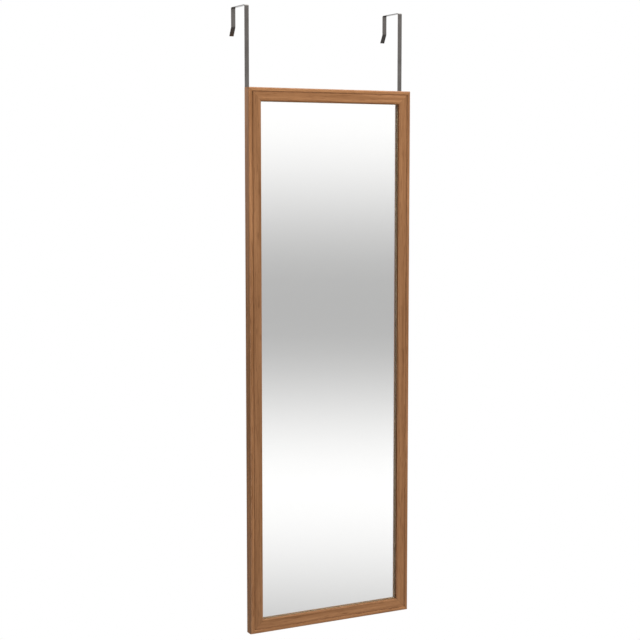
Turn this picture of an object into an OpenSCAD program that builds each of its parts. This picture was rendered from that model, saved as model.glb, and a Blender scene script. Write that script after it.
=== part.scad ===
// Over-the-door mirror: a tall wood-effect frame hung on two bent steel straps.
// Millimetres. Seen from the front, +X is to the right, +Y runs back towards the door, +Z is up.
// The origin is on the door's top edge, on the frame's centre line: Z 0 is the surface that the
// hooks sit on, and Y 0 is the door's front face, which the bumpers rest against.

/* [Frame] */
// Width of the frame over its outer sides
frame_w = 303; // [240:1:420]
// Height of the frame over its outer ends
frame_h = 900; // [600:5:1500]
// Width of the moulding, seen from the front
face_w = 22.5; // [21:0.5:40]
// Thickness of the moulding, front to back
frame_t = 17; // [16:0.5:28]
// Thickness of the lip in front of the glass
lip_t = 6; // [4:0.5:7]
// Width of the rebate behind the lip
rebate_w = 7; // [5:0.5:8]

/* [Moulding profile] */
// Width of the bead along the outer edge of the face
bead_w = 6.3; // [5:0.1:8]
// Height of the bead above the rest of the face
bead_rise = 0.6; // [0.2:0.1:1.2]
// Radius of the bead's outer shoulder
bead_outer_r = 2.5; // [1:0.1:3]
// Radius of the bead's inner shoulder
bead_inner_r = 1.4; // [0.5:0.1:1.8]
// Diameter of the round-bottomed groove beside the bead
groove_d = 1; // [0.6:0.1:2]
// Radius of the face's inner edge, next to the glass
sight_edge_r = 2.5; // [1:0.1:3]
// Radius of the moulding's outer back edge
back_edge_r = 0.8; // [0.3:0.1:1.5]

/* [Glazing] */
// Thickness of the glass
glass_t = 3; // [2:0.5:4]
// Thickness of the silver coat with its protective paint
silver_t = 0.2; // [0.1:0.05:0.3]
// Thickness of the packing sheet behind the glass
packing_t = 1.8; // [1:0.1:2.5]
// Thickness of the hardboard back panel
back_panel_t = 3; // [2:0.5:4]
// Gap between the glass or a sheet and each wall of the rebate
sheet_gap = 1; // [0.5:0.1:2]

/* [Flex points] */
// Length of a flex point, the steel tab that holds the back panel in
flex_l = 15; // [12:0.5:20]
// Width of a flex point
flex_w = 6; // [4:0.5:9]
// Thickness of a flex point
flex_t = 0.5; // [0.4:0.1:0.8]
// How far a flex point is driven into the moulding
flex_bite = 6; // [4:0.5:8]
// Length of a flex point's tapered tip
flex_tip = 3; // [2:0.5:4]
// Size of the clipped corners at a flex point's free end
flex_corner = 1; // [0.5:0.1:1.5]
// Distance from each end of a member to its first flex point
flex_end = 90; // [60:5:110]
// Largest distance from one flex point to the next
flex_pitch = 240; // [150:10:400]

/* [Corner nails] */
// Length of each arm of a V-shaped corner nail
nail_arm = 5; // [3:0.5:5.5]
// Thickness of a corner nail
nail_t = 0.5; // [0.3:0.1:0.8]
// Depth of a corner nail, front to back
nail_depth = 10; // [6:0.5:12]
// Distance from the frame's outer sides to the first nail's point
nail_first = 3; // [2:0.5:4]
// Distance from the first nail's point to the second's, along each side
nail_step = 5; // [4:0.5:6]
// How far a corner nail is sunk below the frame's back
nail_sink = 0.3; // [0:0.1:1]

/* [Hooks] */
// Width of the steel strap
strap_w = 7.5; // [6:0.5:9]
// Thickness of the steel strap
strap_t = 1; // [0.8:0.1:1.6]
// Distance from the frame's left side to the left strap
left_inset = 1; // [1:0.5:8]
// Distance from the frame's right side to the right strap
right_inset = 8; // [1:0.5:8]
// Clear gap inside the hook, which takes the door
throat = 50; // [36:1:56]
// Height of the hook's seat above the frame's top edge
hook_rise = 130.5; // [60:0.5:200]
// Inside radius of the two bends over the door
bend_r = 1.5; // [1:0.1:4]
// Depth of the straight drop behind the door, below the seat
drop_l = 30; // [20:1:60]
// Inside radius of the bend into the flared tip
flare_r = 4; // [2:0.5:10]
// Angle by which the tip flares away from the door
flare_angle = 28; // [10:1:40]
// Length of the flared tip beyond its bend
flare_l = 14.5; // [8:0.5:30]
// Length of the strap that lies on the frame's back
leg_l = 60; // [54:1:85]
// Radius of the corners at the strap's lower end
leg_corner_r = 2; // [0.5:0.1:2.5]

/* [Hook screws] */
// Diameter of a screw's shank
screw_d = 3; // [2.5:0.1:3.5]
// Length of a screw under its head
screw_l = 12; // [9:0.5:13]
// Length of a screw's point
screw_point = 3; // [2:0.5:4]
// Diameter of a screw's head
screw_head_d = 6.5; // [5.5:0.1:7.5]
// Height of a screw's head
screw_head_h = 1.8; // [1.2:0.1:1.9]
// Radius of the domed top of a screw's head
screw_dome_r = 6; // [5:0.5:10]
// Distance from the frame's top edge to the upper screw
screw_top = 18; // [17:0.5:24]
// Distance from the strap's lower end to the lower screw
screw_low = 14; // [10:0.5:18]

/* [Bumpers] */
// Diameter of a bumper
bumper_d = 12; // [8:0.5:14]
// Thickness of a bumper, which clears the straps and the screw heads
bumper_t = 3.2; // [3.1:0.1:5]
// Distance from the frame's bottom edge to a bumper's centre
bumper_end = 28; // [22:1:60]
// Chamfer round a bumper's free face
bumper_chamfer = 0.6; // [0.2:0.1:1]

/* [Clearances] */
// Gap all round a screw where it passes through the strap
strap_hole_gap = 0.3; // [0.1:0.05:0.5]
// Gap round a screw, nail or flex point where it is driven into the moulding
driven_gap = 0.05; // [0.02:0.01:0.1]

/* [Hidden] */
$fn = 64;

WOOD = [0.59, 0.42, 0.28];
GLASS = [0.85, 0.92, 0.90, 0.5];
SILVER = [0.80, 0.81, 0.82];
CARD = [0.72, 0.60, 0.44];
HARDBOARD = [0.40, 0.28, 0.18];
STEEL = [0.40, 0.38, 0.37];
ZINC = [0.70, 0.70, 0.68];
FELT = [0.22, 0.21, 0.20];

LEFT = -1;
RIGHT = 1;
BOTTOM = -1;
TOP = 1;
NAILS_PER_CORNER = 2;
SCREWS_PER_HOOK = 2;
BEND_STEPS = 12;

cut = 1; // how far a cutter runs past the surface that it opens
frame_back_y = -bumper_t;
frame_front_y = frame_back_y - frame_t;
frame_top_z = -hook_rise;
frame_bottom_z = frame_top_z - frame_h;
frame_centre_z = (frame_top_z + frame_bottom_z) / 2;

wall_w = face_w - rebate_w; // what is left of the moulding beside the rebate
sheet_w = frame_w - 2 * (wall_w + sheet_gap);
sheet_h = frame_h - 2 * (wall_w + sheet_gap);
glass_y = frame_front_y + lip_t;
silver_y = glass_y + glass_t;
packing_y = silver_y + silver_t;
back_panel_y = packing_y + packing_t;
flex_y = back_panel_y + back_panel_t;

strap_rear_y = frame_back_y + strap_t;
leg_bottom_z = frame_top_z - leg_l;

// Middle of a side's strap
function strap_x(side) =
  side * (frame_w / 2 - strap_w / 2 - (side == LEFT ? left_inset : right_inset));

// Points along a member at which flex points are driven, from its one end to its other
function flex_places(length) =
  let (run = length - 2 * flex_end)
  let (steps = max(1, ceil(run / flex_pitch)))
  [for (i = [0 : steps]) flex_end + i * run / steps];

// ---------------------------------------------------------------- moulding

// What a round of radius r takes off a square corner; the round's centre is the origin
module corner_waste(r) {
  difference() {
    square(r + cut);
    circle(r);
  }
}

// Section of the moulding: outer side on x 0, back on y 0, face towards +y
module moulding_section() {
  face_y = frame_t - bead_rise;
  difference() {
    square([face_w, frame_t]);
    translate([wall_w, -cut])
      square([rebate_w + cut, frame_t - lip_t + cut]);
    translate([bead_w, face_y])
      square([face_w - bead_w + cut, bead_rise + cut]);
    translate([bead_w, face_y])
      circle(d = groove_d);
    translate([bead_outer_r, frame_t - bead_outer_r])
      mirror([1, 0])
        corner_waste(bead_outer_r);
    translate([bead_w - bead_inner_r, frame_t - bead_inner_r])
      corner_waste(bead_inner_r);
    translate([face_w - sight_edge_r, face_y - sight_edge_r])
      corner_waste(sight_edge_r);
    translate([back_edge_r, back_edge_r])
      rotate(180)
        corner_waste(back_edge_r);
  }
}

// A length of moulding with both ends mitred: it stands on the origin with its outer side on
// x 0 and its back on y 0, and its face looks along -y
module member(length) {
  intersection() {
    linear_extrude(height = length)
      mirror([0, 1])
        moulding_section();
    translate([0, cut, 0])
      rotate([90, 0, 0])
        linear_extrude(height = frame_t + 2 * cut)
          polygon([[0, 0], [face_w, face_w], [face_w, length - face_w], [0, length]]);
  }
}

// Puts a shape drawn for the bottom left corner into any corner of the frame
module at_corner(side, end) {
  translate([side * frame_w / 2, frame_back_y, end == TOP ? frame_top_z : frame_bottom_z])
    mirror([side == RIGHT ? 1 : 0, 0, 0])
      mirror([0, 0, end == TOP ? 1 : 0])
        children();
}

// Puts a shape drawn for a point on the left stile's rebate wall on either stile
module at_stile(side, z) {
  translate([side * (frame_w / 2 - wall_w), flex_y, z])
    mirror([side == RIGHT ? 1 : 0, 0, 0])
      children();
}

// The same for a point on a rail's rebate wall
module at_rail(end, x) {
  translate([x, flex_y, end == TOP ? frame_top_z - wall_w : frame_bottom_z + wall_w])
    rotate([0, end == TOP ? 90 : -90, 0])
      children();
}

module stile(side) {
  difference() {
    at_corner(side, BOTTOM)
      member(frame_h);
    for (end = [BOTTOM, TOP])
      at_corner(side, end)
        nail_slots();
    for (place = flex_places(frame_h))
      at_stile(side, frame_bottom_z + place)
        flex_slot();
    for (i = [0 : SCREWS_PER_HOOK - 1])
      at_screw(side, i)
        pilot_hole();
  }
}

module rail(end) {
  difference() {
    translate([-end * frame_w / 2, frame_back_y, end == TOP ? frame_top_z : frame_bottom_z])
      rotate([0, end * 90, 0])
        member(frame_w);
    for (side = [LEFT, RIGHT])
      at_corner(side, end)
        nail_slots();
    for (place = flex_places(frame_w))
      at_rail(end, place - frame_w / 2)
        flex_slot();
  }
}

// ---------------------------------------------------------------- corner nails

// Plan of a V nail whose point is on the mitre, with an arm in each of the two members
module nail_plan(gap) {
  half = nail_t / 2 + gap;
  translate([-half, -half])
    square([nail_arm + 2 * half, 2 * half]);
  translate([-half, -half])
    square([2 * half, nail_arm + 2 * half]);
}

// The nails of the bottom left corner, driven in from the back, which is on y 0
module nails_of_a_corner() {
  for (i = [0 : NAILS_PER_CORNER - 1]) {
    point = nail_first + i * nail_step;
    translate([point, -nail_sink, point])
      rotate([90, 0, 0])
        linear_extrude(height = nail_depth)
          nail_plan(0);
  }
}

module nail_slots() {
  for (i = [0 : NAILS_PER_CORNER - 1]) {
    point = nail_first + i * nail_step;
    translate([point, cut, point])
      rotate([90, 0, 0])
        linear_extrude(height = cut + nail_sink + nail_depth + driven_gap)
          nail_plan(driven_gap);
  }
}

// ---------------------------------------------------------------- flex points

// Outline of a flex point: the rebate wall is on x 0 and its tip points into the wood along -x
module flex_plan(gap) {
  half = flex_w / 2 + gap;
  tip = -flex_bite - gap;
  free = flex_l - flex_bite;
  polygon([
    [tip, 0],
    [tip + flex_tip, -half],
    [free - flex_corner, -half],
    [free, flex_corner - half],
    [free, half - flex_corner],
    [free - flex_corner, half],
    [tip + flex_tip, half]
  ]);
}

module flex_point() {
  translate([0, flex_t, 0])
    rotate([90, 0, 0])
      linear_extrude(height = flex_t)
        flex_plan(0);
}

module flex_slot() {
  translate([0, flex_t + driven_gap, 0])
    rotate([90, 0, 0])
      linear_extrude(height = flex_t + 2 * driven_gap)
        flex_plan(driven_gap);
}

// ---------------------------------------------------------------- glazing

// A sheet that fills the rebate from side to side, with its front on y
module sheet(y, thickness) {
  translate([-sheet_w / 2, y, frame_centre_z - sheet_h / 2])
    cube([sheet_w, thickness, sheet_h]);
}

// ---------------------------------------------------------------- hooks

// Points along an arc, from one angle to another
function arc(centre, r, from, to) =
  [for (i = [0 : BEND_STEPS]) let (a = from + (to - from) * i / BEND_STEPS)
    centre + r * [cos(a), sin(a)]];

// One face of the strap, from its lower end to its tip, at a distance out from the inner face
function strap_face(out) =
  let (front_bend = [bend_r, -bend_r])
  let (rear_bend = [throat - bend_r, -bend_r])
  let (flare_bend = [throat + strap_t + flare_r, -drop_l])
  let (tip_turn = [cos(flare_angle), sin(flare_angle)])
  let (tip_run = [sin(flare_angle), -cos(flare_angle)])
  concat(
    [[-out, leg_bottom_z]],
    arc(front_bend, bend_r + out, 180, 90),
    arc(rear_bend, bend_r + out, 90, 0),
    arc(flare_bend, flare_r + strap_t - out, 180, 180 + flare_angle),
    [flare_bend - (flare_r + strap_t - out) * tip_turn + flare_l * tip_run]
  );

// Side view of the strap: the seat's front corner is the origin, and the door lies along +x
module strap_side() {
  inner = strap_face(0);
  outer = strap_face(strap_t);
  polygon(concat(inner, [for (i = [len(outer) - 1 : -1 : 0]) outer[i]]));
}

// Rounds both corners of the strap's lower end
module leg_end_waste() {
  for (turn = [0, 1])
    mirror([turn, 0, 0])
      translate([strap_w / 2 - leg_corner_r, strap_rear_y + cut, leg_bottom_z + leg_corner_r])
        rotate([90, 0, 0])
          linear_extrude(height = strap_t + 2 * cut)
            mirror([0, 1])
              corner_waste(leg_corner_r);
}

module hook(side) {
  difference() {
    translate([strap_x(side) - strap_w / 2, strap_rear_y, 0])
      rotate([90, 0, 90])
        linear_extrude(height = strap_w)
          strap_side();
    translate([strap_x(side), 0, 0])
      leg_end_waste();
    for (i = [0 : SCREWS_PER_HOOK - 1])
      at_screw(side, i)
        strap_hole();
  }
}

// ---------------------------------------------------------------- hook screws

// Height of a screw's axis: the screws are spaced evenly from the uppermost, 0, to the lowest
function screw_z(index) =
  let (upper = frame_top_z - screw_top)
  let (lower = leg_bottom_z + screw_low)
  upper + (lower - upper) * index / (SCREWS_PER_HOOK - 1);

// Puts a shape on a screw's axis: z 0 is under the head, and the shank points along -z
module at_screw(side, index) {
  translate([strap_x(side), strap_rear_y, screw_z(index)])
    rotate([-90, 0, 0])
      children();
}

module screw() {
  intersection() {
    cylinder(h = screw_head_h, d = screw_head_d);
    translate([0, 0, screw_head_h - screw_dome_r])
      sphere(r = screw_dome_r);
  }
  translate([0, 0, screw_point - screw_l])
    cylinder(h = screw_l - screw_point, d = screw_d);
  translate([0, 0, -screw_l])
    cylinder(h = screw_point, d1 = 0, d2 = screw_d);
}

module strap_hole() {
  translate([0, 0, -strap_t - cut])
    cylinder(h = strap_t + 2 * cut, d = screw_d + 2 * strap_hole_gap);
}

module pilot_hole() {
  translate([0, 0, -screw_l - driven_gap])
    cylinder(h = screw_l, d = screw_d + 2 * driven_gap);
}

// ---------------------------------------------------------------- bumpers

module bumper(side) {
  plain_t = bumper_t - bumper_chamfer;
  translate([side * (frame_w - wall_w) / 2, frame_back_y, frame_bottom_z + bumper_end])
    rotate([-90, 0, 0]) {
      cylinder(h = plain_t, d = bumper_d);
      translate([0, 0, plain_t])
        cylinder(h = bumper_chamfer, d1 = bumper_d, d2 = bumper_d - 2 * bumper_chamfer);
    }
}

// ---------------------------------------------------------------- sub-parts

module top_rail() {
  color(WOOD)
    rail(TOP);
}

module bottom_rail() {
  color(WOOD)
    rail(BOTTOM);
}

module left_stile() {
  color(WOOD)
    stile(LEFT);
}

module right_stile() {
  color(WOOD)
    stile(RIGHT);
}

module corner_nails() {
  color(ZINC)
    for (side = [LEFT, RIGHT])
      for (end = [BOTTOM, TOP])
        at_corner(side, end)
          nails_of_a_corner();
}

module mirror_glass() {
  color(GLASS)
    sheet(glass_y, glass_t);
}

module silver_coat() {
  color(SILVER)
    sheet(silver_y, silver_t);
}

module packing_sheet() {
  color(CARD)
    sheet(packing_y, packing_t);
}

module back_panel() {
  color(HARDBOARD)
    sheet(back_panel_y, back_panel_t);
}

module flex_points() {
  color(ZINC) {
    for (side = [LEFT, RIGHT])
      for (place = flex_places(frame_h))
        at_stile(side, frame_bottom_z + place)
          flex_point();
    for (end = [BOTTOM, TOP])
      for (place = flex_places(frame_w))
        at_rail(end, place - frame_w / 2)
          flex_point();
  }
}

module left_hook() {
  color(STEEL)
    hook(LEFT);
}

module right_hook() {
  color(STEEL)
    hook(RIGHT);
}

module hook_screws(side) {
  color(ZINC)
    for (i = [0 : SCREWS_PER_HOOK - 1])
      at_screw(side, i)
        screw();
}

module left_hook_screws() {
  hook_screws(LEFT);
}

module right_hook_screws() {
  hook_screws(RIGHT);
}

module left_bumper() {
  color(FELT)
    bumper(LEFT);
}

module right_bumper() {
  color(FELT)
    bumper(RIGHT);
}

top_rail();
bottom_rail();
left_stile();
right_stile();
corner_nails();
mirror_glass();
silver_coat();
packing_sheet();
back_panel();
flex_points();
left_hook();
right_hook();
left_hook_screws();
right_hook_screws();
left_bumper();
right_bumper();
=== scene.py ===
import math

import bmesh
import bpy
from mathutils import Matrix, Vector, noise as smooth_noise


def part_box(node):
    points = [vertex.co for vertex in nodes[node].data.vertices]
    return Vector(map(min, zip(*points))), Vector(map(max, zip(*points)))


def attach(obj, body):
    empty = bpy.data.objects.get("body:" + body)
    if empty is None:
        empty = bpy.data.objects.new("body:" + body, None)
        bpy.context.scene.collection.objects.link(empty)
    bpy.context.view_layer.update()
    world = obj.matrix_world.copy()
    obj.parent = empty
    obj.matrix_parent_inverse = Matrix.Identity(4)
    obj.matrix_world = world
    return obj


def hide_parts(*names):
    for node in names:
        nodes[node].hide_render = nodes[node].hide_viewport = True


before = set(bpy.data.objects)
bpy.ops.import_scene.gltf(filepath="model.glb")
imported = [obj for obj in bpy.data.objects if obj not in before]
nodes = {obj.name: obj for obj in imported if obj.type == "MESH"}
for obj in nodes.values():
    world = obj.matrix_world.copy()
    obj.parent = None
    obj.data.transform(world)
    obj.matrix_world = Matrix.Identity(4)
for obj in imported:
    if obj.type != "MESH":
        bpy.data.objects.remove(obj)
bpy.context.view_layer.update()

MM = 0.001

# ---------------------------------------------------------------- sizes read from the frame

stile_lo, stile_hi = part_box("left_stile")
_, right_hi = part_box("right_stile")
glass_lo, glass_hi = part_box("mirror_glass")
silver_lo, silver_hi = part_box("silver_coat")

FACE_Y = stile_lo.y                 # front of the moulding
TOP_Z = stile_hi.z
BOTTOM_Z = stile_lo.z
HALF_W = right_hi.x
RAIL_LENGTH = 2 * HALF_W
STILE_LENGTH = TOP_Z - BOTTOM_Z
FACE_W = stile_hi.x - stile_lo.x    # width of the moulding, seen from the front
FRAME_T = stile_hi.y - FACE_Y
LIP_T = glass_lo.y - FACE_Y         # the glass rests against the lip's back
REBATE_GAP = 1.0 * MM               # from the glass to the rebate's wall
WALL_W = HALF_W - glass_hi.x - REBATE_GAP

# ---------------------------------------------------------------- camera

CAMERA_LEFT = 1.1733                # from the object's middle
CAMERA_AHEAD = 2.1574               # in front of the moulding's face
CAMERA_UP = 0.7657                  # above the frame's bottom edge
CAMERA_YAW = 28.074                 # degrees, turned right from looking straight at the door
CAMERA_PITCH = 5.762                # degrees, tilted down
PICTURE_PX = 640                    # width of the photograph
FOCAL_PX = 1475.8                   # in pixels of that width
SENSOR_MM = 36.0

# ---------------------------------------------------------------- small helpers


def srgb(r, g, b):
    """A colour given as 0 to 255 display values, in linear light."""
    def linear(v):
        v /= 255
        return v / 12.92 if v <= 0.04045 else ((v + 0.055) / 1.055) ** 2.4
    return (linear(r), linear(g), linear(b), 1.0)


def level_colour(level):
    """A plain grey, from 0 to 1 in linear light."""
    return (level, level, level, 1.0)


WHITE = level_colour(1.0)


def new_object(name, data):
    """Adds an object to the scene."""
    holder = bpy.data.objects.new(name, data)
    bpy.context.scene.collection.objects.link(holder)
    return holder


def to_mesh(name, shape):
    """Turns a finished bmesh into a mesh."""
    mesh = bpy.data.meshes.new(name)
    shape.to_mesh(mesh)
    shape.free()
    return mesh


def new_material(name):
    """A node material with a Principled shader; returns the material, its tree and the shader."""
    material = bpy.data.materials.new(name)
    material.use_nodes = True
    tree = material.node_tree
    return material, tree, tree.nodes["Principled BSDF"]


def put(tree, socket, value):
    """Links a socket, or sets a plain value."""
    if isinstance(value, bpy.types.NodeSocket):
        tree.links.new(value, socket)
    elif value is not None:
        socket.default_value = value


def put_all(tree, node, values):
    """Links or sets a node's inputs by name."""
    for name, value in values.items():
        put(tree, node.inputs[name], value)


def math_node(tree, operation, a, b=None, c=None, clamp=False):
    node = tree.nodes.new("ShaderNodeMath")
    node.operation = operation
    node.use_clamp = clamp
    for socket, value in zip(node.inputs, (a, b, c)):
        put(tree, socket, value)
    return node.outputs[0]


def add(tree, a, b):
    return math_node(tree, "ADD", a, b)


def subtract(tree, a, b):
    return math_node(tree, "SUBTRACT", a, b)


def multiply(tree, a, b):
    return math_node(tree, "MULTIPLY", a, b)


def greater(tree, a, b):
    """The greater of two numbers."""
    return math_node(tree, "MAXIMUM", a, b)


def distance_from(tree, value, place):
    return math_node(tree, "ABSOLUTE", subtract(tree, value, place))


def wave(tree, value, pitch):
    """A sine wave from -1 to 1."""
    return math_node(tree, "SINE", multiply(tree, value, 2 * math.pi / pitch))


def combine(tree, x, y, z):
    node = tree.nodes.new("ShaderNodeCombineXYZ")
    for socket, value in zip(node.inputs, (x, y, z)):
        put(tree, socket, value)
    return node.outputs[0]


def split(tree, vector):
    """X, Y and Z of a vector."""
    node = tree.nodes.new("ShaderNodeSeparateXYZ")
    tree.links.new(vector, node.inputs[0])
    return node.outputs


def coordinates(tree, kind="Object"):
    """The shaded point in the object's own space; in the world, Generated is the ray's direction."""
    return tree.nodes.new("ShaderNodeTexCoord").outputs[kind]


def position(tree):
    """X, Y and Z of the shaded point in the object's own space."""
    return split(tree, coordinates(tree))


def noise(tree, vector, scale=1.0, detail=3.0, roughness=0.55):
    node = tree.nodes.new("ShaderNodeTexNoise")
    put_all(tree, node, {
        "Vector": vector, "Scale": scale, "Detail": detail, "Roughness": roughness})
    return node.outputs["Fac"]


def span(tree, value, from_lo, from_hi, to_lo=0.0, to_hi=1.0, smooth=False):
    """Maps one range of values onto another, clamped."""
    node = tree.nodes.new("ShaderNodeMapRange")
    node.interpolation_type = "SMOOTHSTEP" if smooth else "LINEAR"
    put_all(tree, node, {
        "Value": value, "From Min": from_lo, "From Max": from_hi, "To Min": to_lo, "To Max": to_hi})
    return node.outputs["Result"]


def mix(tree, factor, a, b, blend="MIX"):
    node = tree.nodes.new("ShaderNodeMix")
    node.data_type = "RGBA"
    node.blend_type = blend
    put_all(tree, node, {"Factor": factor, "A": a, "B": b})
    return node.outputs["Result"]


NOISE_LOW, NOISE_HIGH = 0.3, 0.7    # most of a noise's values lie between these


def tint(tree, colour, other, amount, starts=NOISE_LOW, full=NOISE_HIGH, share=1.0):
    """Mixes another colour in: none where a noise or wave is at starts, and its share from full on."""
    return mix(tree, span(tree, amount, starts, full, 0.0, share), colour, other)


def varied(tree, amount, at_low, at_high):
    """A number that follows a noise from one limit to the other."""
    return span(tree, amount, NOISE_LOW, NOISE_HIGH, at_low, at_high)


def grey(tree, value):
    """A grey colour from a number."""
    node = tree.nodes.new("ShaderNodeCombineColor")
    for socket in node.inputs:
        put(tree, socket, value)
    return node.outputs[0]


def bump(tree, shader, height, distance, strength):
    node = tree.nodes.new("ShaderNodeBump")
    put_all(tree, node, {"Strength": strength, "Distance": distance, "Height": height})
    tree.links.new(node.outputs["Normal"], shader.inputs["Normal"])


def choose(tree, factor, plain, chosen):
    """One shader where the factor is 0, and the other where it is 1."""
    node = tree.nodes.new("ShaderNodeMixShader")
    for socket, value in zip(node.inputs, (factor, plain, chosen)):
        put(tree, socket, value)
    return node.outputs[0]


def light_path(tree):
    return tree.nodes.new("ShaderNodeLightPath").outputs


def seen_in_shine(tree, path):
    """1 for rays that a shiny surface or the mirror sends out."""
    return greater(tree, path["Is Glossy Ray"], path["Is Transmission Ray"])


# ---------------------------------------------------------------- the moulding's foil and board

FOIL_DARK = srgb(117, 76, 41)
FOIL_LIGHT = srgb(160, 113, 74)
FOIL_STREAK = srgb(95, 55, 20)
FOIL_IN_SHADE = srgb(88, 44, 10)    # on the side of the lip
RAW_BOARD = srgb(210, 181, 144)
RAW_BOARD_DARK = srgb(170, 139, 103)
RAW_BOARD_CLOUD = srgb(176, 140, 100)
RAW_BOARD_PAINTED_LIGHT = srgb(240, 222, 192)   # painted light: paler on the lip's back, which the silver mirrors, for light that comes through the glass

# Wood grain: changes in a metre along the member and across it, and the noise's detail
GRAIN_BANDS = (5.0, 190.0, 3.0)
GRAIN_FINE = (24.0, 900.0, 2.0)
GRAIN_STREAKS = (38.0, 520.0, 1.0)
GRAIN_PORES = (110.0, 2600.0, 1.0)
GRAIN_ROUGHNESS = 0.6
BANDS_SHARE, FINE_SHARE = 0.68, 0.32    # of the foil's tone
GRAIN_BENDS = 5.0                   # in a metre along the member
GRAIN_DRIFT = 3.0 * MM              # how far a bend takes the grain to the side
BARE_ROUGHNESS = 0.85               # of the bare board and of the lip's side

# Soft steps: where each begins and where it ends. These go across, from the moulding's outer side
BEAD_W = 6.3 * MM                   # to the middle of the groove beside the bead
BEAD_EDGE = (BEAD_W - 0.5 * MM, BEAD_W + 0.5 * MM)
FOIL_WRAP = (3.8 * MM, 4.2 * MM)    # the foil is wrapped on to the back as far as this
REBATE_WALL = (WALL_W - 0.2 * MM, WALL_W - 0.1 * MM)
LIP_SIDE = (FACE_W - 1.6 * MM, FACE_W - 1.0 * MM)
LIP_SIDE_END = (FACE_W - 0.4 * MM, FACE_W - 0.2 * MM)
# These go to either side of the groove's middle and of a mitre
GROOVE_EDGE = (0.2 * MM, 0.6 * MM)
SEAM_EDGE = (0.1 * MM, 0.35 * MM)
SEAM_TONE = 0.55
# These go in depth, from the moulding's face
FRONT_END = (2.0 * MM, 3.0 * MM)
LIP_TURN = (1.2 * MM, 2.2 * MM)     # where the foil turns down to the glass
FOIL_END = (LIP_T - 1.0 * MM, LIP_T - 0.8 * MM)
LIP_BACK = (LIP_T - 0.15 * MM, LIP_T - 0.05 * MM)
LIP_BACK_END = (LIP_T + 0.1 * MM, LIP_T + 0.3 * MM)
BACK_FACE = (FRAME_T - 0.3 * MM, FRAME_T - 0.2 * MM)


def foil_colour(tree, along, across, depth, seed):
    """Straight wood grain printed on the foil: colour and a height for the bump."""
    bend = noise(tree, combine(tree, multiply(tree, along, GRAIN_BENDS), seed, 0.0), detail=1.0)
    line = add(tree, across, multiply(tree, bend, GRAIN_DRIFT))
    deep = add(tree, depth, seed)

    def grain(per_along, per_across, detail):
        vector = combine(
            tree,
            multiply(tree, along, per_along),
            multiply(tree, line, per_across),
            multiply(tree, deep, per_across),
        )
        return noise(tree, vector, detail=detail, roughness=GRAIN_ROUGHNESS)

    bands = grain(*GRAIN_BANDS)
    fine = grain(*GRAIN_FINE)
    tone = add(tree, multiply(tree, bands, BANDS_SHARE), multiply(tree, fine, FINE_SHARE))
    colour = tint(tree, FOIL_DARK, FOIL_LIGHT, tone, starts=0.32, full=0.66)
    colour = tint(tree, colour, FOIL_STREAK, grain(*GRAIN_STREAKS), starts=0.60, full=0.72, share=0.55)
    colour = tint(tree, colour, FOIL_STREAK, grain(*GRAIN_PORES), starts=0.60, full=0.70, share=0.45)
    return colour, fine


def painted_front_light(tree, way, depth, flat_tone_and_light, bead_highlight, groove_light):
    """Painted light on the front alone: the flat's tone, partly its own and partly painted light; a
    painted highlight on the bead; and in the groove, painted light where its number is above 1 and
    painted shade where it is below.
    """
    in_groove = span(tree, distance_from(tree, way, BEAD_W), *GROOVE_EDGE, groove_light, 1.0, smooth=True)
    tone = multiply(tree, span(tree, way, *BEAD_EDGE, bead_highlight, flat_tone_and_light), in_groove)
    front = span(tree, depth, *FRONT_END, 1.0, 0.0)
    return mix(tree, front, WHITE, grey(tree, tone))


def mitre_seam(tree, run, way, length):
    """A dark hairline where the mitres meet."""
    nearest = math_node(tree, "MINIMUM", run, subtract(tree, length, run))
    return span(tree, distance_from(tree, nearest, way), *SEAM_EDGE, SEAM_TONE, 1.0)


def bare_board(tree, way, depth):
    """How far the board shows without foil, and how far that is the lip's back, where light is painted
    on.
    """
    on_back = multiply(tree, span(tree, depth, *BACK_FACE), span(tree, way, *FOIL_WRAP))
    in_rebate = multiply(tree, span(tree, depth, *LIP_BACK), span(tree, way, *REBATE_WALL))
    # The foil ends just short of the glass, and leaves a pale line of board along the lip
    lip_line = multiply(tree, span(tree, depth, *FOIL_END), span(tree, way, *LIP_SIDE_END))
    raw = greater(tree, greater(tree, on_back, in_rebate), lip_line)
    return raw, multiply(tree, in_rebate, span(tree, depth, *LIP_BACK_END, 1.0, 0.0))


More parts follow.
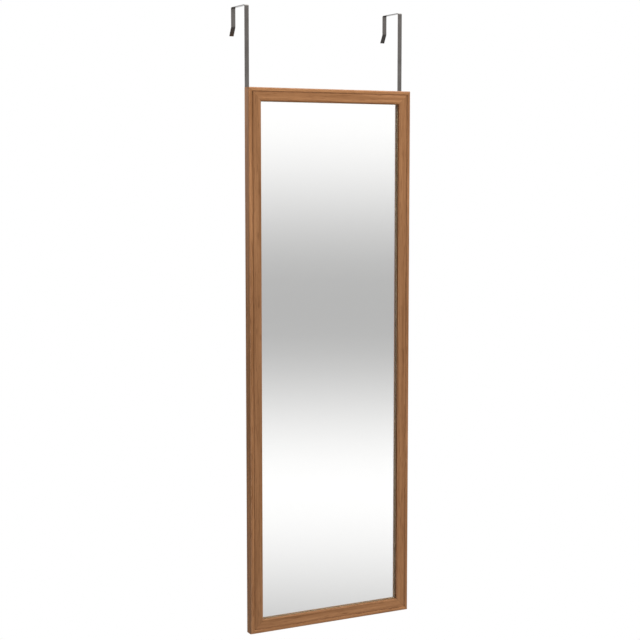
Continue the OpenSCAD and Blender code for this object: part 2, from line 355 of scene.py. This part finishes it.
def moulding_material(name, length, along, across, seed, flat_tone_and_light, bead_highlight, groove_light, lip_shade):
    """Foil-wrapped fibreboard. along and across give, from X and Z, the way along the member from
    its one end and the way across it from its outer side. The next numbers paint light on the foil:
    the flat's tone, partly its own and partly painted light; a painted highlight on the bead; painted
    light in the groove, with painted shade where that number is below 1; and how far the lip's side
    takes the painted shade of FOIL_IN_SHADE."""
    material, tree, shader = new_material(name)
    x, y, z = position(tree)
    run = along(tree, x, z)
    way = across(tree, x, z)
    depth = subtract(tree, y, FACE_Y)

    foil, height = foil_colour(tree, run, way, depth, seed)
    # Painted light and shade on the front, member by member, with a painted highlight on the bead
    foil = mix(tree, 1.0, foil, painted_front_light(tree, way, depth, flat_tone_and_light, bead_highlight, groove_light), "MULTIPLY")
    # Painted shade: the foil is darker where it turns down to the glass, as far as each member's lip
    # number takes it
    lip_side = multiply(tree, span(tree, depth, *LIP_TURN), span(tree, way, *LIP_SIDE))
    foil = mix(tree, multiply(tree, lip_side, lip_shade), foil, FOIL_IN_SHADE)

    raw, lip_back = bare_board(tree, way, depth)
    specks = noise(tree, coordinates(tree), scale=1500.0, detail=2.0)
    clouds = noise(tree, coordinates(tree), scale=60.0, detail=2.0)
    board = tint(tree, RAW_BOARD, RAW_BOARD_DARK, specks, starts=0.35, full=0.65, share=0.5)
    board = tint(tree, board, RAW_BOARD_CLOUD, clouds, share=0.2)
    # Painted light: the lip's back, which the silver mirrors, is made paler for the light that reaches
    # it through the glass
    board = mix(tree, lip_back, board, RAW_BOARD_PAINTED_LIGHT)

    seam = mitre_seam(tree, run, way, length)
    gloss = varied(tree, height, at_low=0.30, at_high=0.42)
    dull = multiply(tree, greater(tree, raw, lip_side), BARE_ROUGHNESS)
    put_all(tree, shader, {
        "Base Color": mix(tree, 1.0, mix(tree, raw, foil, board), grey(tree, seam), "MULTIPLY"),
        "Roughness": greater(tree, gloss, dull),
        "Specular IOR Level": 0.25,
    })
    relief = add(tree, height, multiply(tree, raw, specks))
    bump(tree, shader, relief, distance=0.04 * MM, strength=0.5)
    return material


# ---------------------------------------------------------------- the other materials

PAINT_DARK, PAINT_LIGHT = srgb(96, 108, 112), srgb(112, 122, 126)
NICKEL_DARK, NICKEL_LIGHT = srgb(98, 94, 91), srgb(116, 112, 109)
ZINC_DARK, ZINC_LIGHT = srgb(176, 177, 172), srgb(206, 206, 198)
ZINC_YELLOWED = srgb(188, 176, 140)
HARDBOARD_DARK, HARDBOARD_LIGHT = srgb(92, 64, 42), srgb(128, 92, 62)
HARDBOARD_CLOUD, HARDBOARD_DIMPLE = srgb(110, 80, 54), srgb(70, 48, 32)
CARD_DARK, CARD_LIGHT = srgb(168, 130, 88), srgb(196, 160, 116)
CARD_FLUTE = srgb(140, 106, 70)
FELT_DARK, FELT_LIGHT = srgb(48, 46, 45), srgb(92, 90, 88)
FELT_CLUMP = srgb(60, 58, 57)

MESH_PITCH = 1.6 * MM               # of the wires that pressed the hardboard's back
FLUTE_PITCH = 6.5 * MM              # of the card's corrugation
DRAWN_ALONG, DRAWN_ACROSS = 60.0, 2600.0    # the strap's fine lines, in a metre


def glass_material():
    material, tree, shader = new_material("float_glass")
    put_all(tree, shader, {
        "Base Color": (0.985, 0.992, 0.988, 1.0),
        "Roughness": 0.0,
        "IOR": 1.52,
        "Transmission Weight": 1.0,
    })
    return material


def silver_material():
    material, tree, shader = new_material("silver")
    put_all(tree, shader, {
        "Base Color": (0.965, 0.958, 0.955, 1.0),
        "Metallic": 1.0,
        "Roughness": 0.0,
    })
    return material


def backing_paint():
    """The grey protective paint on the silver's back."""
    material, tree, shader = new_material("backing_paint")
    cloud = noise(tree, coordinates(tree), scale=30.0)
    put_all(tree, shader, {
        "Base Color": tint(tree, PAINT_DARK, PAINT_LIGHT, cloud),
        "Roughness": 0.6,
    })
    return material


def hook_material():
    """Satin dark nickel on a flat steel strap, drawn lengthwise."""
    material, tree, shader = new_material("dark_nickel")
    x, y, z = position(tree)
    lengthwise = combine(
        tree,
        multiply(tree, x, DRAWN_ACROSS),
        multiply(tree, y, DRAWN_ALONG),
        multiply(tree, z, DRAWN_ALONG),
    )
    lines = noise(tree, lengthwise, detail=2.0)
    cloud = noise(tree, coordinates(tree), scale=45.0)
    tone = add(tree, multiply(tree, lines, 0.5), multiply(tree, cloud, 0.5))
    put_all(tree, shader, {
        "Base Color": tint(tree, NICKEL_DARK, NICKEL_LIGHT, tone, starts=0.35, full=0.65),
        "Roughness": varied(tree, tone, at_low=0.26, at_high=0.16),
        "Metallic": 1.0,
    })
    bump(tree, shader, lines, distance=0.01 * MM, strength=0.4)
    return material


def zinc_material():
    material, tree, shader = new_material("zinc_plate")
    spangle = noise(tree, coordinates(tree), scale=700.0, detail=2.0)
    cloud = noise(tree, coordinates(tree), scale=120.0, detail=2.0)
    colour = tint(tree, ZINC_DARK, ZINC_LIGHT, spangle, starts=0.35, full=0.65)
    put_all(tree, shader, {
        "Base Color": tint(tree, colour, ZINC_YELLOWED, cloud, starts=0.5, full=0.75, share=0.35),
        "Roughness": varied(tree, spangle, at_low=0.30, at_high=0.48),
        "Metallic": 1.0,
    })
    bump(tree, shader, spangle, distance=0.02 * MM, strength=0.4)
    return material


def hardboard_material():
    """Hardboard with its mesh side out: the press screen leaves small square dimples."""
    material, tree, shader = new_material("hardboard_mesh")
    x, _, z = position(tree)
    weave = multiply(tree, wave(tree, x, MESH_PITCH), wave(tree, z, MESH_PITCH))
    fibres = noise(tree, coordinates(tree), scale=900.0, detail=3.0)
    cloud = noise(tree, coordinates(tree), scale=14.0, detail=4.0)
    colour = tint(tree, HARDBOARD_DARK, HARDBOARD_LIGHT, fibres)
    colour = tint(tree, colour, HARDBOARD_CLOUD, cloud, starts=0.35, full=0.7, share=0.5)
    put_all(tree, shader, {
        "Base Color": tint(tree, colour, HARDBOARD_DIMPLE, weave, starts=0.1, full=0.9, share=0.25),
        "Roughness": 0.72,
    })
    relief = add(tree, multiply(tree, weave, -0.6), fibres)
    bump(tree, shader, relief, distance=0.12 * MM, strength=0.7)
    return material


def card_material():
    """Brown card, whose flutes run across the frame."""
    material, tree, shader = new_material("packing_card")
    _, _, z = position(tree)
    flutes = wave(tree, z, FLUTE_PITCH)
    fibres = noise(tree, coordinates(tree), scale=800.0, detail=3.0)
    colour = tint(tree, CARD_DARK, CARD_LIGHT, fibres)
    put_all(tree, shader, {
        "Base Color": tint(tree, colour, CARD_FLUTE, flutes, starts=-1.0, full=1.0, share=0.15),
        "Roughness": 0.85,
    })
    bump(tree, shader, flutes, distance=0.1 * MM, strength=0.5)
    return material


def felt_material():
    material, tree, shader = new_material("grey_felt")
    fibres = noise(tree, coordinates(tree), scale=1600.0, detail=4.0, roughness=0.7)
    clumps = noise(tree, coordinates(tree), scale=350.0, detail=2.0)
    colour = tint(tree, FELT_DARK, FELT_LIGHT, fibres)
    put_all(tree, shader, {
        "Base Color": tint(tree, colour, FELT_CLUMP, clumps, starts=0.4, full=0.7, share=0.4),
        "Roughness": 0.95,
        "Sheen Weight": 0.4,
        "Sheen Roughness": 0.5,
    })
    bump(tree, shader, fibres, distance=0.3 * MM, strength=0.8)
    return material


# ---------------------------------------------------------------- pieces

GLASS_ARRIS = 0.4 * MM
GLASS_GAP = 0.05 * MM               # keeps the glass off the lip's back
SILVER_ARRIS = 0.04 * MM
SILVER_SUNK = 0.05 * MM             # into the glass's back
SILVER_MARGIN = 0.5 * MM            # the coat stops short of the glass's ground edge
STRAP_EDGE_R = 0.25 * MM
TAB_EDGE_R = 0.1 * MM
WELD_DISTANCE = 0.001 * MM          # points nearer than this are one
FLAT_ANGLE = 0.5                    # degrees: faces that differ by less are one
SHARP_ANGLE = 0.6                   # radians: edges that turn by more are rounded over


def finish_piece(name, mesh, materials, replaced):
    """Adds a mesh as a piece that rides on the frame and stands for CAD nodes."""
    piece = new_object(name, mesh)
    for material in materials:
        mesh.materials.append(material)
    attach(piece, "root")
    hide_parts(*replaced)
    return piece


def arrised_sheet(name, lo, hi, arris):
    """A sheet whose twelve edges are ground to small flats."""
    shape = bmesh.new()
    bmesh.ops.create_cube(shape, size=1.0)
    size, middle = hi - lo, (hi + lo) / 2
    shape.transform(Matrix.Translation(middle) @ Matrix.Diagonal(size).to_4x4())
    bmesh.ops.bevel(shape, geom=shape.edges[:], offset=arris, segments=1, affect="EDGES")
    return to_mesh(name, shape)


def make_glass(material):
    lo = glass_lo + Vector((0, GLASS_GAP, 0))
    mesh = arrised_sheet("glass_sheet", lo, glass_hi, GLASS_ARRIS)
    finish_piece("glass_sheet", mesh, [material], ["mirror_glass"])


def make_silver(front, paint):
    """The silver lies just inside the glass's back, and its other faces carry the paint."""
    lo = Vector((glass_lo.x + SILVER_MARGIN, silver_lo.y - SILVER_SUNK, glass_lo.z + SILVER_MARGIN))
    hi = Vector((glass_hi.x - SILVER_MARGIN, silver_hi.y, glass_hi.z - SILVER_MARGIN))
    mesh = arrised_sheet("silver_layer", lo, hi, SILVER_ARRIS)
    finish_piece("silver_layer", mesh, [front, paint], ["silver_coat"])
    for face in mesh.polygons:
        face.material_index = 0 if face.normal.y < -0.5 else 1


def shade_smooth(mesh, sharpest):
    """Smooth shading, apart from edges sharper than so many degrees."""
    mesh.polygons.foreach_set("use_smooth", [True] * len(mesh.polygons))
    mesh.set_sharp_from_angle(angle=math.radians(sharpest))


def make_softened(name, node, radius, material):
    """A piece like a CAD solid, with its sharp edges rounded over."""
    shape = bmesh.new()
    shape.from_mesh(nodes[node].data)
    bmesh.ops.remove_doubles(shape, verts=shape.verts, dist=WELD_DISTANCE)
    bmesh.ops.dissolve_limit(
        shape, angle_limit=math.radians(FLAT_ANGLE), verts=shape.verts, edges=shape.edges)
    sharp = [e for e in shape.edges if len(e.link_faces) == 2 and e.calc_face_angle() > SHARP_ANGLE]
    bmesh.ops.bevel(
        shape, geom=sharp, offset=radius, segments=3, profile=0.5, affect="EDGES", clamp_overlap=True)
    mesh = to_mesh(name, shape)
    shade_smooth(mesh, sharpest=40.0)
    piece = finish_piece(name, mesh, [material], [node])
    piece.modifiers.new("flats_stay_flat", "WEIGHTED_NORMAL").weight = 100


def ring_surface(name, first, rings, last, sides):
    """A closed surface through rings and two end points. A ring gives a point for an angle."""
    shape = bmesh.new()
    turns = [2 * math.pi * i / sides for i in range(sides)]
    loops = [[shape.verts.new(ring(turn)) for turn in turns] for ring in rings]
    for lower, upper in zip(loops, loops[1:]):
        for i in range(sides):
            j = (i + 1) % sides
            shape.faces.new((lower[i], lower[j], upper[j], upper[i]))
    for centre, loop in ((shape.verts.new(first), loops[0]), (shape.verts.new(last), loops[-1])):
        for i in range(sides):
            shape.faces.new((centre, loop[i], loop[(i + 1) % sides]))
    bmesh.ops.recalc_face_normals(shape, faces=shape.faces)
    return to_mesh(name, shape)


# ---------------------------------------------------------------- screws

SCREW_SIDES = 40
SCREW_HEAD_D = 6.5 * MM
SCREW_HEAD_H = 1.8 * MM
SCREW_DOME_R = 6.0 * MM             # top of the head
SCREW_RIM_R = 0.35 * MM             # rounding between the dome and the head's side
SCREW_CHAMFER = 0.15 * MM           # round the head's underside
SCREW_COLLAR_R = 1.2 * MM           # where the head's underside meets the shank
SCREW_CREST_R = 1.5 * MM            # thread, over its crests
SCREW_ROOT_R = 1.05 * MM            # thread, in its valleys
SCREW_NECK = 1.2 * MM               # plain length under the head
SCREW_POINT = 3.0 * MM
THREAD_PITCH = 1.35 * MM
THREAD_RIDGE = 0.32                 # half of a ridge's foot, in pitches
SHANK_STEP = 0.12 * MM              # from ring to ring along the shank
RIM_STEPS, DOME_STEPS = 6, 12
RECESS_W = 0.95 * MM                # width of a slot of the cross
RECESS_SPAN = 3.6 * MM              # length of a slot
RECESS_DEPTH = 1.25 * MM
RECESS_ABOVE = 1.0 * MM             # how far the cutter stands out of the head
RECESS_FLOOR_W = 0.45               # share of a slot's width that is left at its bottom
RECESS_FLOOR_SPAN = 0.35            # share of its length
SCREW_TURNS = (18.0, 61.0)          # degrees that the cross is turned, upper screw and lower one


def screw_mesh(name, length):
    """A pan head with its shank along -Z; the underside of the head is on Z 0."""

    def circle(radius, height):
        return lambda turn: (radius * math.cos(turn), radius * math.sin(turn), height)

    def threaded(height):
        """The thread rises from the plain neck in one turn, and narrows towards the point."""
        def point(turn):
            phase = (height / THREAD_PITCH - turn / (2 * math.pi)) % 1.0
            ridge = max(0.0, 1.0 - abs(phase - 0.5) / THREAD_RIDGE)
            risen = min(1.0, max(0.0, (-height - SCREW_NECK) / THREAD_PITCH))
            taper = min(1.0, (height + length) / SCREW_POINT)
            radius = SCREW_ROOT_R + (SCREW_CREST_R - SCREW_ROOT_R) * ridge * risen
            radius *= math.sqrt(max(taper, 0.0))
            return (radius * math.cos(turn), radius * math.sin(turn), height)
        return point

    rows = round(length / SHANK_STEP)
    rings = [threaded(-length + length * (i + 0.5) / rows) for i in range(rows)]
    head_r = SCREW_HEAD_D / 2
    dome_z = SCREW_HEAD_H - SCREW_DOME_R
    rim_z = dome_z + math.sqrt((SCREW_DOME_R - SCREW_RIM_R) ** 2 - (head_r - SCREW_RIM_R) ** 2)
    rim_turn = math.atan2(rim_z - dome_z, head_r - SCREW_RIM_R)
    rings.append(circle(SCREW_COLLAR_R, 0.0))
    rings.append(circle(head_r - SCREW_CHAMFER, 0.0))
    rings.append(circle(head_r, SCREW_CHAMFER))
    for i in range(RIM_STEPS + 1):
        turn = rim_turn * i / RIM_STEPS
        out, up = SCREW_RIM_R * math.cos(turn), SCREW_RIM_R * math.sin(turn)
        rings.append(circle(head_r - SCREW_RIM_R + out, rim_z + up))
    for i in range(1, DOME_STEPS):
        turn = rim_turn + (math.pi / 2 - rim_turn) * i / DOME_STEPS
        rings.append(circle(SCREW_DOME_R * math.cos(turn), dome_z + SCREW_DOME_R * math.sin(turn)))
    return ring_surface(name, (0, 0, -length), rings, (0, 0, SCREW_HEAD_H), SCREW_SIDES)


def recess_mesh(name):
    """The cross that is sunk into a screw's head, narrower at its bottom."""
    shape = bmesh.new()
    for turn in (0, math.pi / 2):
        new = bmesh.ops.create_cube(shape, size=1.0)["verts"]
        for vert in new:
            deep = vert.co.z < 0
            vert.co.x *= RECESS_SPAN * (RECESS_FLOOR_SPAN if deep else 1.0)
            vert.co.y *= RECESS_W * (RECESS_FLOOR_W if deep else 1.0)
            vert.co.z = SCREW_HEAD_H + (-RECESS_DEPTH if deep else RECESS_ABOVE)
        bmesh.ops.rotate(shape, verts=new, matrix=Matrix.Rotation(turn, 3, "Z"))
    return to_mesh(name, shape)


def cut_mesh(mesh, cutter):
    """The mesh less the cutter."""
    body = new_object("body_to_cut", mesh)
    tool = new_object("cutting_tool", cutter)
    cut = body.modifiers.new("cut", "BOOLEAN")
    cut.operation = "DIFFERENCE"
    cut.solver = "EXACT"
    cut.use_self = True
    cut.object = tool
    evaluated = body.evaluated_get(bpy.context.evaluated_depsgraph_get())
    result = bpy.data.meshes.new_from_object(evaluated)
    for each in (body, tool):
        bpy.data.objects.remove(each)
    return result


def make_screws(name, node, material):
    """Both screws of a hook: the head's cross stands at another angle on each."""
    lo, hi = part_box(node)
    length = hi.y - lo.y - SCREW_HEAD_H
    blank = cut_mesh(screw_mesh("screw_blank", length), recess_mesh("screw_recess"))
    upright = Matrix.Rotation(math.radians(-90), 4, "X")
    heights = (hi.z - SCREW_HEAD_D / 2, lo.z + SCREW_HEAD_D / 2)
    shape = bmesh.new()
    for height, turn in zip(heights, SCREW_TURNS):
        seat = Matrix.Translation(((lo.x + hi.x) / 2, hi.y - SCREW_HEAD_H, height))
        placed = blank.copy()
        placed.transform(seat @ upright @ Matrix.Rotation(math.radians(turn), 4, "Z"))
        shape.from_mesh(placed)
        bpy.data.meshes.remove(placed)
    mesh = to_mesh(name, shape)
    shade_smooth(mesh, sharpest=35.0)
    finish_piece(name, mesh, [material], [node])


# ---------------------------------------------------------------- felt pads

PAD_SIDES = 72
PAD_SHOULDER = 0.55 * MM            # radius of the soft edge
PAD_SHOULDER_STEPS = 5
PAD_FACE_STEPS = 14                 # from the shoulder to the face's middle
PAD_SIDE = (                        # the cut edge: how far in, and at what share of the thickness
    (0.1 * MM, 0.0),
    (0.04 * MM, 0.2),
    (0.02 * MM, 0.5),
)
PAD_SHOULDER_IN = 0.05 * MM         # the shoulder starts this far in
PAD_FACE_DIP = 0.10 * MM            # unevenness of the face
PAD_SIDE_DIP = 0.08 * MM            # unevenness of the cut edge
PAD_BUMPS = 900.0                   # in a metre
PAD_SHUFFLE = 100.0                 # gives each pad bumps of its own


def pad_outline(radius, thick):
    """The pad's section, from the rim of its back to near the middle of its face."""
    outline = [(radius - inward, share * thick) for inward, share in PAD_SIDE]
    for i in range(PAD_SHOULDER_STEPS + 1):
        turn = math.pi / 2 * i / PAD_SHOULDER_STEPS
        outline.append((
            radius - PAD_SHOULDER + (PAD_SHOULDER - PAD_SHOULDER_IN) * math.cos(turn),
            thick - PAD_SHOULDER + PAD_SHOULDER * math.sin(turn),
        ))
    for i in range(1, PAD_FACE_STEPS):
        outline.append(((radius - PAD_SHOULDER) * (1 - i / PAD_FACE_STEPS), thick))
    return outline


def make_pad(name, node, material):
    """A felt pad with a cut edge: soft shoulders, and a face that isn't quite flat."""
    lo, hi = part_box(node)
    centre, radius, thick = (lo + hi) / 2, (hi.x - lo.x) / 2, hi.y - lo.y

    def ring(out, along):
        on_face = along >= thick

        def point(turn):
            place = Vector((out * math.cos(turn), along, out * math.sin(turn)))
            rough = 0.5 + 0.5 * smooth_noise.noise(place * PAD_BUMPS + centre * PAD_SHUFFLE)
            dip = PAD_FACE_DIP * rough if on_face else 0.0
            narrowed = 1 - (0.0 if on_face else PAD_SIDE_DIP * rough) / radius
            return (centre.x + place.x * narrowed, lo.y + along - dip, centre.z + place.z * narrowed)
        return point

    rings = [ring(out, along) for out, along in pad_outline(radius, thick)]
    back = (centre.x, lo.y, centre.z)
    face = (centre.x, hi.y - PAD_FACE_DIP / 2, centre.z)
    mesh = ring_surface(name, back, rings, face, PAD_SIDES)
    shade_smooth(mesh, sharpest=60.0)
    finish_piece(name, mesh, [material], [node])


# ---------------------------------------------------------------- dressing the frame


def dress(node, material):
    """Gives a CAD node its finish."""
    piece = nodes[node]
    piece.data.materials.clear()
    piece.data.materials.append(material)


def from_left(tree, x, z):
    return add(tree, x, HALF_W)


def from_right(tree, x, z):
    return subtract(tree, HALF_W, x)


def from_bottom(tree, x, z):
    return subtract(tree, z, BOTTOM_Z)


def from_top(tree, x, z):
    return subtract(tree, TOP_Z, z)


# Each member's run and its own grain, and the light painted on its foil: the flat's tone, partly its
# own and partly painted light, a painted highlight on the bead, painted light in the groove (painted
# shade below 1) and painted shade on the lip's side
MEMBERS = {
    "left_stile": dict(
        length=STILE_LENGTH, along=from_bottom, across=from_left,
        seed=5.91, flat_tone_and_light=0.93, bead_highlight=1.08, groove_light=1.25, lip_shade=0.8),
    "right_stile": dict(
        length=STILE_LENGTH, along=from_bottom, across=from_right,
        seed=11.81, flat_tone_and_light=0.96, bead_highlight=1.0, groove_light=0.95, lip_shade=0.95),
    "top_rail": dict(
        length=RAIL_LENGTH, along=from_left, across=from_top,
        seed=9.41, flat_tone_and_light=1.02, bead_highlight=1.18, groove_light=1.26, lip_shade=0.1),
    "bottom_rail": dict(
        length=RAIL_LENGTH, along=from_left, across=from_bottom,
        seed=8.19, flat_tone_and_light=1.04, bead_highlight=1.14, groove_light=1.11, lip_shade=0.0),
}

make_glass(glass_material())
make_silver(silver_material(), backing_paint())
for member, looks in MEMBERS.items():
    dress(member, moulding_material(f"foil_{member}", **looks))

dark_nickel = hook_material()
zinc = zinc_material()
felt = felt_material()
for side in ("left", "right"):
    make_softened(f"{side}_strap", f"{side}_hook", STRAP_EDGE_R, dark_nickel)
    make_screws(f"{side}_screws", f"{side}_hook_screws", zinc)
    make_pad(f"{side}_pad", f"{side}_bumper", felt)
make_softened("flex_tabs", "flex_points", TAB_EDGE_R, zinc)
dress("corner_nails", zinc)
dress("back_panel", hardboard_material())
dress("packing_sheet", card_material())

# ---------------------------------------------------------------- floor

FLOOR_Z = -2.0                      # the foot of a two-metre door
FLOOR_R = 3.0
FLOOR_SIDES = 96
FLOOR_FADE = (0.5 * FLOOR_R, 0.98 * FLOOR_R)    # it fades out between these distances
FLOOR_GLOW = 0.78                   # what the camera sees of it in full shadow
FLOOR_SHADED = 0.34                 # and what light adds to that
FLOOR_PLAIN = 0.8                   # its colour for all other rays


def diffuse(tree, level):
    node = tree.nodes.new("ShaderNodeBsdfDiffuse")
    node.inputs["Color"].default_value = level_colour(level)
    return node.outputs[0]


def floor_material():
    material = bpy.data.materials.new("pale_floor")
    material.use_nodes = True
    tree = material.node_tree
    tree.nodes.clear()
    path = light_path(tree)

    glow = tree.nodes.new("ShaderNodeEmission")
    glow.inputs["Strength"].default_value = FLOOR_GLOW
    seen = tree.nodes.new("ShaderNodeAddShader")
    tree.links.new(glow.outputs[0], seen.inputs[0])
    tree.links.new(diffuse(tree, FLOOR_SHADED), seen.inputs[1])
    pale = choose(tree, path["Is Camera Ray"], diffuse(tree, FLOOR_PLAIN), seen.outputs[0])

    x, y, _ = position(tree)
    radius = math_node(tree, "SQRT", add(tree, multiply(tree, x, x), multiply(tree, y, y)))
    gone = greater(tree, span(tree, radius, *FLOOR_FADE, smooth=True), seen_in_shine(tree, path))
    clear = tree.nodes.new("ShaderNodeBsdfTransparent").outputs[0]
    output = tree.nodes.new("ShaderNodeOutputMaterial")
    tree.links.new(choose(tree, gone, pale, clear), output.inputs["Surface"])
    return material


def make_floor():
    """A pale floor that fades out at its rim. The camera sees it near white, with the shadow."""
    shape = bmesh.new()
    bmesh.ops.create_circle(shape, cap_ends=True, segments=FLOOR_SIDES, radius=FLOOR_R)
    shape.transform(Matrix.Translation((0, 0, FLOOR_Z)))
    floor = new_object("floor", to_mesh("floor", shape))
    floor.data.materials.append(floor_material())


# ---------------------------------------------------------------- world

# What shiny surfaces see of the studio, by height above the horizon in degrees
ROOM_BANDS = (                      # in front of the mirror
    (-90.0, 0.30),
    (-55.0, 0.34),
    (-20.8, 0.36),
    (-12.3, 0.99),
    (-5.7, 0.465),
    (-4.8, 0.465),
    (2.4, 0.99),
    (90.0, 1.0),
)
DOOR_BANDS = (                      # behind the mirror
    (-90.0, 0.40),
    (-50.0, 0.55),
    (-15.0, 1.0),
    (90.0, 1.0),
)
FLAG_BANDS = (                      # behind the mirror on its left, where a dark flag stands
    (-90.0, 0.30),
    (-17.0, 0.35),
    (-11.0, 0.03),
    (-5.0, 0.06),
    (2.0, 1.0),
    (90.0, 1.0),
)
MIRROR_RETURN = 0.93                # share of the light that glass and silver give back

# Where these begin and are full, in X (to the right), Y (to the back) or Z (up) of a direction
BEHIND = (-0.15, 0.25)              # Y of the space behind the mirror
FLAGGED = (0.25, -0.35)             # X of the flag
STRIP_LEFT = (-0.40, -0.65)         # X of a tall soft box at the front left, seen in gloss only
STRIP_END = (-0.95, -0.75)          # X of its end towards the side
STRIP_FRONT = (0.0, -0.25)          # Y of it
OVERHEAD = (0.55, 0.85)             # Z of a soft box above, seen in gloss only
STRIP_LEVEL = 5.5
OVERHEAD_LEVEL = 3.2

# Soft light from all round: its mean, and how it grows to the right, to the back and upwards
SOFT_LEVEL = 0.515
SOFT_SLOPE = (0.16, -0.14, 0.24)


def band_ramp(tree, share, bands):
    """A grey for each height; the first band is straight down and the last straight up."""
    ramp = tree.nodes.new("ShaderNodeValToRGB")
    ramp.color_ramp.interpolation = "EASE"
    stops = ramp.color_ramp.elements
    stops[0].color = level_colour(bands[0][1])
    stops[1].color = level_colour(bands[-1][1])
    for degrees, level in bands[1:-1]:
        stops.new(degrees / 180 + 0.5).color = level_colour(level)
    tree.links.new(share, ramp.inputs[0])
    return ramp.outputs[0]


def studio(tree, right, back, up):
    """The room in front of the mirror, and the flagged backdrop behind it."""
    height = math_node(tree, "ARCSINE", up)
    share = math_node(tree, "MULTIPLY_ADD", height, 1 / math.pi, 0.5)
    flagged = span(tree, right, *FLAGGED, smooth=True)
    backdrop = mix(
        tree, flagged, band_ramp(tree, share, DOOR_BANDS), band_ramp(tree, share, FLAG_BANDS))
    behind = span(tree, back, *BEHIND, smooth=True)
    return mix(tree, behind, band_ramp(tree, share, ROOM_BANDS), backdrop)


def sheen_boxes(tree, right, back, up, path):
    """Soft boxes that give the wood its sheen; the mirror doesn't show them."""
    at_left = span(tree, right, *STRIP_LEFT, 0.0, STRIP_LEVEL, smooth=True)
    not_beside = span(tree, right, *STRIP_END, smooth=True)
    in_front = span(tree, back, *STRIP_FRONT, smooth=True)
    strip = multiply(tree, multiply(tree, at_left, not_beside), in_front)
    overhead = span(tree, up, *OVERHEAD, 0.0, OVERHEAD_LEVEL, smooth=True)
    unmirrored = subtract(tree, 1.0, path["Is Transmission Ray"])
    return multiply(tree, greater(tree, strip, overhead), unmirrored)


def soft_light(tree, direction):
    slope = tree.nodes.new("ShaderNodeVectorMath")
    slope.operation = "DOT_PRODUCT"
    slope.inputs[1].default_value = SOFT_SLOPE
    tree.links.new(direction, slope.inputs[0])
    return math_node(tree, "ADD", slope.outputs["Value"], SOFT_LEVEL, clamp=True)


def background(tree, colour, strength=1.0):
    node = tree.nodes.new("ShaderNodeBackground")
    put_all(tree, node, {"Color": colour, "Strength": strength})
    return node.outputs[0]


def make_world():
    world = bpy.data.worlds.new("studio")
    bpy.context.scene.world = world
    world.use_nodes = True
    tree = world.node_tree
    tree.nodes.clear()
    path = light_path(tree)
    direction = coordinates(tree, "Generated")
    right, back, up = split(tree, direction)

    boxes = sheen_boxes(tree, right, back, up, path)
    shown = mix(tree, 1.0, studio(tree, right, back, up), grey(tree, boxes), "ADD")
    lit = choose(
        tree, seen_in_shine(tree, path),
        background(tree, grey(tree, soft_light(tree, direction))),
        background(tree, shown, 1 / MIRROR_RETURN))
    seen = choose(tree, path["Is Camera Ray"], lit, background(tree, WHITE))
    output = tree.nodes.new("ShaderNodeOutputWorld")
    tree.links.new(seen, output.inputs["Surface"])


# ---------------------------------------------------------------- lamps

MIDDLE = (0, FACE_Y, (TOP_Z + BOTTOM_Z) / 2)
LAMPS = (                           # name, place, what it is aimed at, width and height, watts
    ("key_light", (0.8, -1.1, 0.9), (0, 0, TOP_Z), (1.0, 1.0), 29.0),
    ("low_light", (0.6, -0.9, -1.7), (0.1, 0, BOTTOM_Z), (0.6, 0.6), 2.1),
    ("side_light", (-0.6, -0.15, 0.3), (-0.15, 0, TOP_Z), (0.4, 0.4), 2.7),
    ("back_light", (0.4, 1.8, 0.2), MIDDLE, (1.2, 1.2), 16.0),
)


def soft_box(name, place, target, size, watts):
    """An area lamp that doesn't show in the glass or in metal."""
    lamp = bpy.data.lights.new(name, "AREA")
    lamp.shape = "RECTANGLE"
    lamp.size, lamp.size_y = size
    lamp.energy = watts
    holder = new_object(name, lamp)
    holder.visible_glossy = holder.visible_transmission = False
    holder.location = place
    aim = Vector(target) - Vector(place)
    holder.rotation_euler = aim.to_track_quat("-Z", "Y").to_euler()


make_floor()
make_world()
for lamp in LAMPS:
    soft_box(*lamp)

# ---------------------------------------------------------------- the photograph's view


def make_camera():
    yaw, pitch = math.radians(CAMERA_YAW), math.radians(CAMERA_PITCH)
    ahead = Vector((math.sin(yaw) * math.cos(pitch), math.cos(yaw) * math.cos(pitch), -math.sin(pitch)))
    right = Vector((math.cos(yaw), -math.sin(yaw), 0))
    up = right.cross(ahead)
    camera = bpy.data.cameras.new("camera")
    camera.sensor_width = SENSOR_MM
    camera.lens = FOCAL_PX * SENSOR_MM / PICTURE_PX
    holder = new_object("camera", camera)
    turn = Matrix((right, up, -ahead)).transposed().to_4x4()
    place = Vector((-CAMERA_LEFT, FACE_Y - CAMERA_AHEAD, BOTTOM_Z + CAMERA_UP))
    holder.matrix_world = Matrix.Translation(place) @ turn
    bpy.context.scene.camera = holder


make_camera()
bpy.context.scene.view_settings.view_transform = "Standard"
